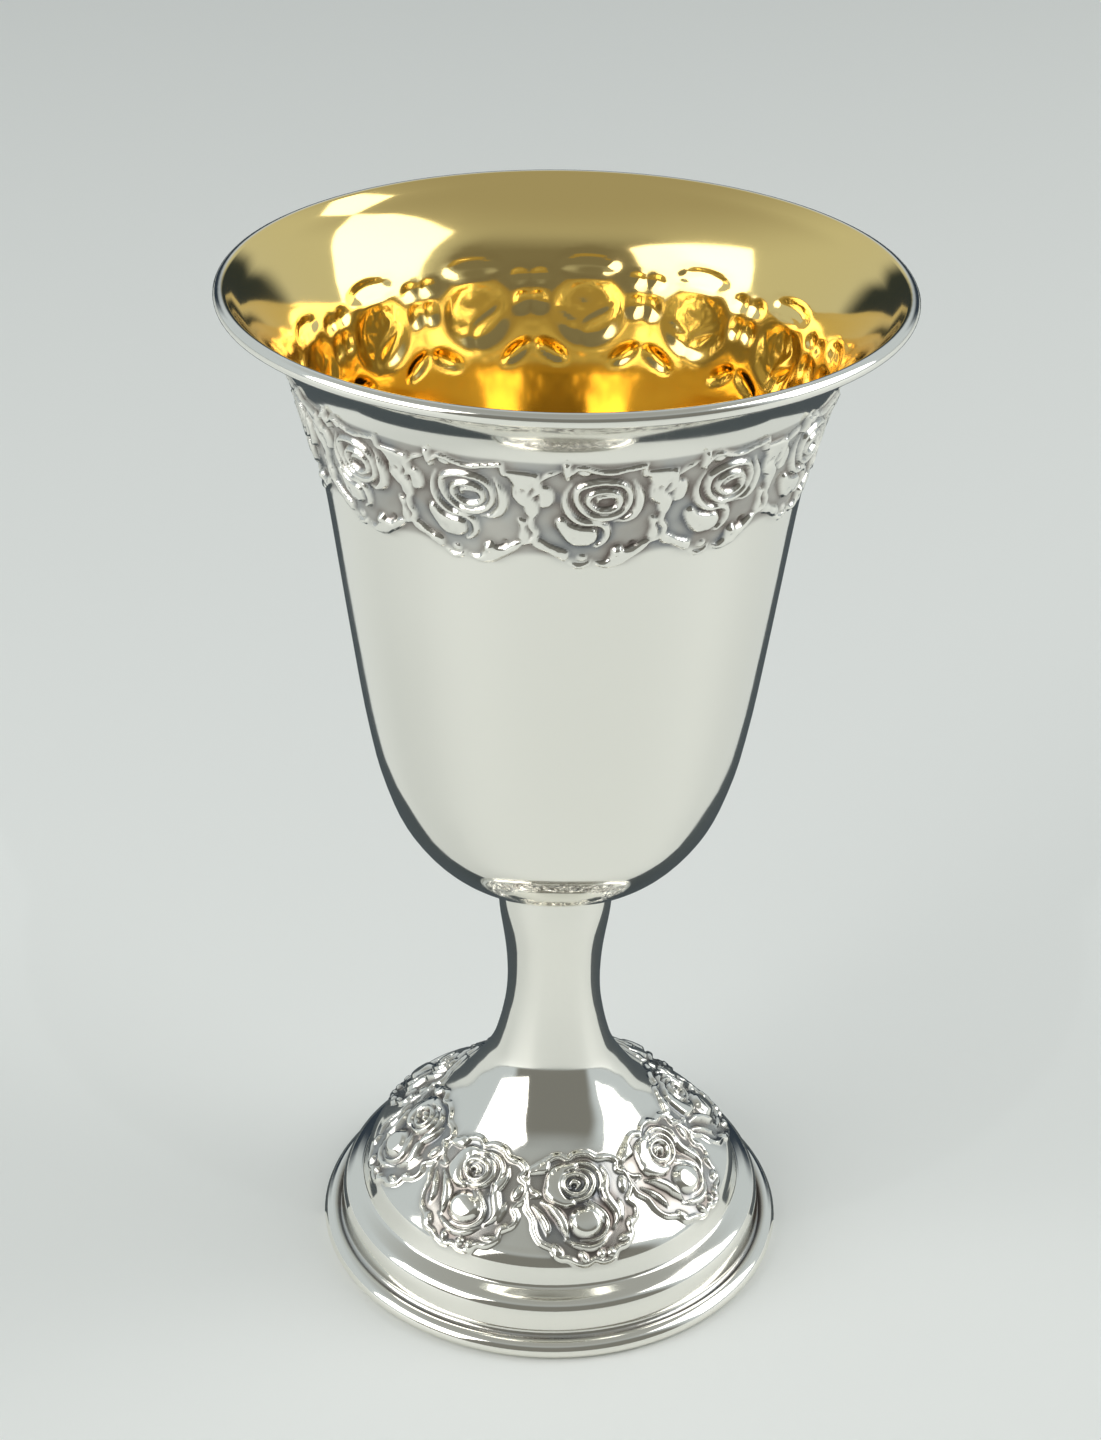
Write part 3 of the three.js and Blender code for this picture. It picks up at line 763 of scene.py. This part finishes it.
SILVER = (0.91, 0.895, 0.83, 1)
GOLD = (0.96, 0.73, 0.29, 1)
OXIDE_AND_SHADE = (0.17, 0.14, 0.125, 1)
BLUE_OXIDE_AND_SHADE = (0.15, 0.16, 0.18, 1)
AMBER_PAINTED_SHADE = (0.42, 0.24, 0.07, 1)


class Nodes:
    """Short ways to add and link shader nodes."""

    def __init__(self, tree):
        self.tree = tree
        tree.nodes.clear()

    def add(self, kind, inputs=(), **settings):
        node = self.tree.nodes.new(kind)
        for key, value in settings.items():
            setattr(node, key, value)
        for key, value in dict(inputs).items():
            self.feed(node.inputs[key], value)
        return node

    def feed(self, socket, value):
        if isinstance(value, bpy.types.NodeSocket):
            self.tree.links.new(value, socket)
        else:
            socket.default_value = value

    def attribute(self, name):
        return self.add("ShaderNodeAttribute", attribute_name=name).outputs["Fac"]

    def noise(self, place, scale, detail=3.0, roughness=0.5):
        node = self.add(
            "ShaderNodeTexNoise",
            {"Vector": place, "Scale": scale, "Detail": detail, "Roughness": roughness},
        )
        return node.outputs["Fac"]

    def remap(self, value, low, high, to_low, to_high):
        node = self.add(
            "ShaderNodeMapRange",
            {
                "Value": value, "From Min": low, "From Max": high,
                "To Min": to_low, "To Max": to_high,
            },
            interpolation_type="SMOOTHSTEP",
        )
        return node.outputs["Result"]

    def math(self, operation, a, b=0.0):
        return self.add("ShaderNodeMath", {0: a, 1: b}, operation=operation).outputs[0]

    def mix(self, share, a, b):
        node = self.add("ShaderNodeMix", data_type="RGBA")
        self.feed(node.inputs["Factor"], share)
        self.feed(node.inputs[6], a)
        self.feed(node.inputs[7], b)
        return node.outputs[2]


def polished(name, gilded):
    """Polished silver with fine wear, gilt where the piece says so. Darker with tarnishing in the
    chased hollows, with painted shade in the hammered hollows, and near the foot's crevice.
    """
    material = bpy.data.materials.new(name)
    material.use_nodes = True
    nodes = Nodes(material.node_tree)
    place = nodes.add("ShaderNodeTexCoord").outputs["Object"]
    tarnish = nodes.attribute("tarnish")
    gilt = nodes.attribute("gilt")

    cloud = nodes.noise(place, 60.0, 4.0)
    patchy = nodes.remap(cloud, 0.3, 0.7, 0.7, 1.0)
    # The dark colour stands for tarnishing in the chased hollows and for painted shade in the
    # hammered hollows.
    dark = nodes.math("MULTIPLY", tarnish, patchy)
    bluish = nodes.remap(nodes.noise(place, 150.0, 2.0), 0.45, 0.6, 0.0, 1.0)
    oxide_and_shade = nodes.mix(bluish, OXIDE_AND_SHADE, BLUE_OXIDE_AND_SHADE)
    colour = nodes.mix(dark, SILVER, oxide_and_shade)
    if gilded:
        # On the gilt, the darkening is painted shade only: the hammered hollows of the inside.
        gold = nodes.mix(nodes.math("MULTIPLY", dark, 0.55), GOLD, AMBER_PAINTED_SHADE)
        colour = nodes.mix(gilt, colour, gold)

    # Wear: a faint haze in patches, and hair scratches
    haze = nodes.remap(nodes.noise(place, 35.0, 5.0, 0.6), 0.42, 0.7, 0.0, 0.05)
    rough = nodes.math("ADD", haze, nodes.math("MULTIPLY", dark, 0.22))
    rough = nodes.math("ADD", rough, 0.07)
    hair = nodes.add(
        "ShaderNodeMapping", {"Vector": place, "Scale": (900.0, 900.0, 60.0)}
    ).outputs["Vector"]
    scratches = nodes.noise(hair, 1.0, 2.0)
    dents = nodes.noise(place, 110.0, 2.0)
    height = nodes.math("ADD", nodes.math("MULTIPLY", scratches, 0.06), dents)
    bump = nodes.add("ShaderNodeBump", {"Strength": 0.05, "Distance": 0.0002, "Height": height})
    shader = nodes.add(
        "ShaderNodeBsdfPrincipled",
        {"Base Color": colour, "Metallic": 1.0, "Roughness": rough, "Normal": bump.outputs[0]},
    )
    nodes.add("ShaderNodeOutputMaterial", {"Surface": shader.outputs[0]})
    return material


# ---- The cup -----------------------------------------------------------------------------------

bowl = make_bowl()
foot = make_foot()
for piece, node, slot, gilded in (
    (bowl, "bowl", "bowl_silver_gilt", True),
    (foot, "foot", "foot_silver", False),
):
    piece.data.materials.append(polished(slot, gilded))
    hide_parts(node)
    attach(piece, "root")


# ---- Floor, light and camera -------------------------------------------------------------------

def flat_material(name, colour, roughness=0.6):
    material = bpy.data.materials.new(name)
    material.use_nodes = True
    nodes = Nodes(material.node_tree)
    shader = nodes.add("ShaderNodeBsdfPrincipled", {"Base Color": colour, "Roughness": roughness})
    nodes.add("ShaderNodeOutputMaterial", {"Surface": shader.outputs[0]})
    return material


def sheet_object(name, corners, material):
    mesh = bpy.data.meshes.new(name)
    mesh.from_pydata(corners, [], [list(range(len(corners)))])
    mesh.materials.append(material)
    piece = bpy.data.objects.new(name, mesh)
    bpy.context.scene.collection.objects.link(piece)
    return piece


FLOOR_HALF = 6.0
FLOOR_COLOUR = (0.86, 0.88, 0.865, 1)
floor_height = cad_low.z
sheet_object(
    "floor",
    [
        (x * FLOOR_HALF, y * FLOOR_HALF, floor_height)
        for x, y in ((-1, -1), (1, -1), (1, 1), (-1, 1))
    ],
    flat_material("pale_floor", FLOOR_COLOUR),
)

# A dark card on the floor behind the cup, seen only in the silver: it draws the cup's edges
FLAG_RADIUS = 0.085
FLAG_CENTRE = 0.077
FLAG_BACK = 1.6
FLAG_HEIGHT = floor_height + 0.0004
FLAG_SPREAD = 0.75
angles = np.radians(np.linspace(180, 360, 49))
flag_outline = [
    (FLAG_RADIUS * math.cos(a), FLAG_CENTRE + FLAG_RADIUS * math.sin(a), FLAG_HEIGHT)
    for a in angles
]
flag_outline += [(side * FLAG_SPREAD, FLAG_BACK, FLAG_HEIGHT) for side in (1, -1)]
flag = sheet_object("flag", flag_outline, flat_material("dark_card", (0.06, 0.075, 0.085, 1)))
flag.visible_camera = False
flag.visible_diffuse = False
flag.visible_shadow = False


def soft_box(name, azimuth, elevation, distance, size, watts, colour):
    """A rectangular soft light that faces the cup; azimuth 0 is the camera's side, +90 is +X."""
    light = bpy.data.lights.new(name, "AREA")
    light.shape = "RECTANGLE"
    light.size, light.size_y = size
    light.energy = watts
    light.color = colour
    lamp = bpy.data.objects.new(name, light)
    az, el = math.radians(azimuth), math.radians(elevation)
    aim = Vector((0, 0, 0.07))
    away = Vector((math.sin(az) * math.cos(el), -math.cos(az) * math.cos(el), math.sin(el)))
    lamp.location = aim + distance * away
    lamp.rotation_euler = away.to_track_quat("Z", "Y").to_euler()
    bpy.context.scene.collection.objects.link(lamp)
    return lamp


soft_box("left_window", -62, 28, 1.3, (1.15, 0.95), 9, (1.0, 0.99, 0.97))
soft_box("right_window", 92, 33, 1.3, (0.95, 1.15), 8, (1.0, 0.99, 0.97))


def make_world():
    """A plain pale room for the camera; the silver sees it darker in front and behind."""
    world = bpy.data.worlds.new("studio")
    world.use_nodes = True
    nodes = Nodes(world.node_tree)
    direction = nodes.add("ShaderNodeTexCoord").outputs["Generated"]
    split = nodes.add("ShaderNodeSeparateXYZ", {"Vector": direction})
    x, y, z = split.outputs
    ahead = nodes.remap(y, -0.55, -0.35, 1.0, 0.0)
    front = nodes.math("MULTIPLY", ahead, nodes.remap(z, 0.6, 0.85, 1.0, 0.0))
    behind = nodes.math(
        "MULTIPLY", nodes.remap(y, 0.72, 0.86, 0.0, 1.0), nodes.remap(z, 0.25, 0.4, 1.0, 0.0)
    )
    overhead = nodes.remap(z, 0.55, 0.95, 0.0, 1.0)
    walls = nodes.mix(overhead, (0.55, 0.6, 0.62, 1), (0.36, 0.37, 0.35, 1))
    walls = nodes.mix(front, walls, (0.2, 0.2, 0.18, 1))
    walls = nodes.mix(behind, walls, (0.03, 0.042, 0.058, 1))
    camera_ray = nodes.add("ShaderNodeLightPath").outputs["Is Camera Ray"]
    colour = nodes.mix(camera_ray, walls, (0.78, 0.79, 0.78, 1))
    background = nodes.add("ShaderNodeBackground", {"Color": colour, "Strength": 1.0})
    nodes.add("ShaderNodeOutputWorld", {"Surface": background.outputs[0]})
    bpy.context.scene.world = world


make_world()

CAMERA_PLACE = Vector((0, -0.3030, 0.2459))
CAMERA_PITCH = math.radians(29.12)
CAMERA_YAW = math.radians(-0.19)
CAMERA_ROLL = math.radians(0.99)
CAMERA_LENS = 69.6


def make_camera():
    camera = bpy.data.objects.new("camera", bpy.data.cameras.new("camera"))
    camera.data.lens = CAMERA_LENS
    camera.data.sensor_width = 36
    camera.data.clip_start = 0.01
    camera.data.clip_end = 50
    ahead = Vector((
        math.sin(CAMERA_YAW) * math.cos(CAMERA_PITCH),
        math.cos(CAMERA_YAW) * math.cos(CAMERA_PITCH),
        -math.sin(CAMERA_PITCH),
    ))
    right = ahead.cross(Vector((0, 0, 1))).normalized()
    up = right.cross(ahead)
    cos, sin = math.cos(CAMERA_ROLL), math.sin(CAMERA_ROLL)
    right, up = right * cos + up * sin, up * cos - right * sin
    camera.matrix_world = Matrix.Translation(CAMERA_PLACE) @ Matrix(
        (right, up, -ahead)
    ).transposed().to_4x4()
    bpy.context.scene.collection.objects.link(camera)
    bpy.context.scene.camera = camera


make_camera()
bpy.context.scene.view_settings.view_transform = "Standard"
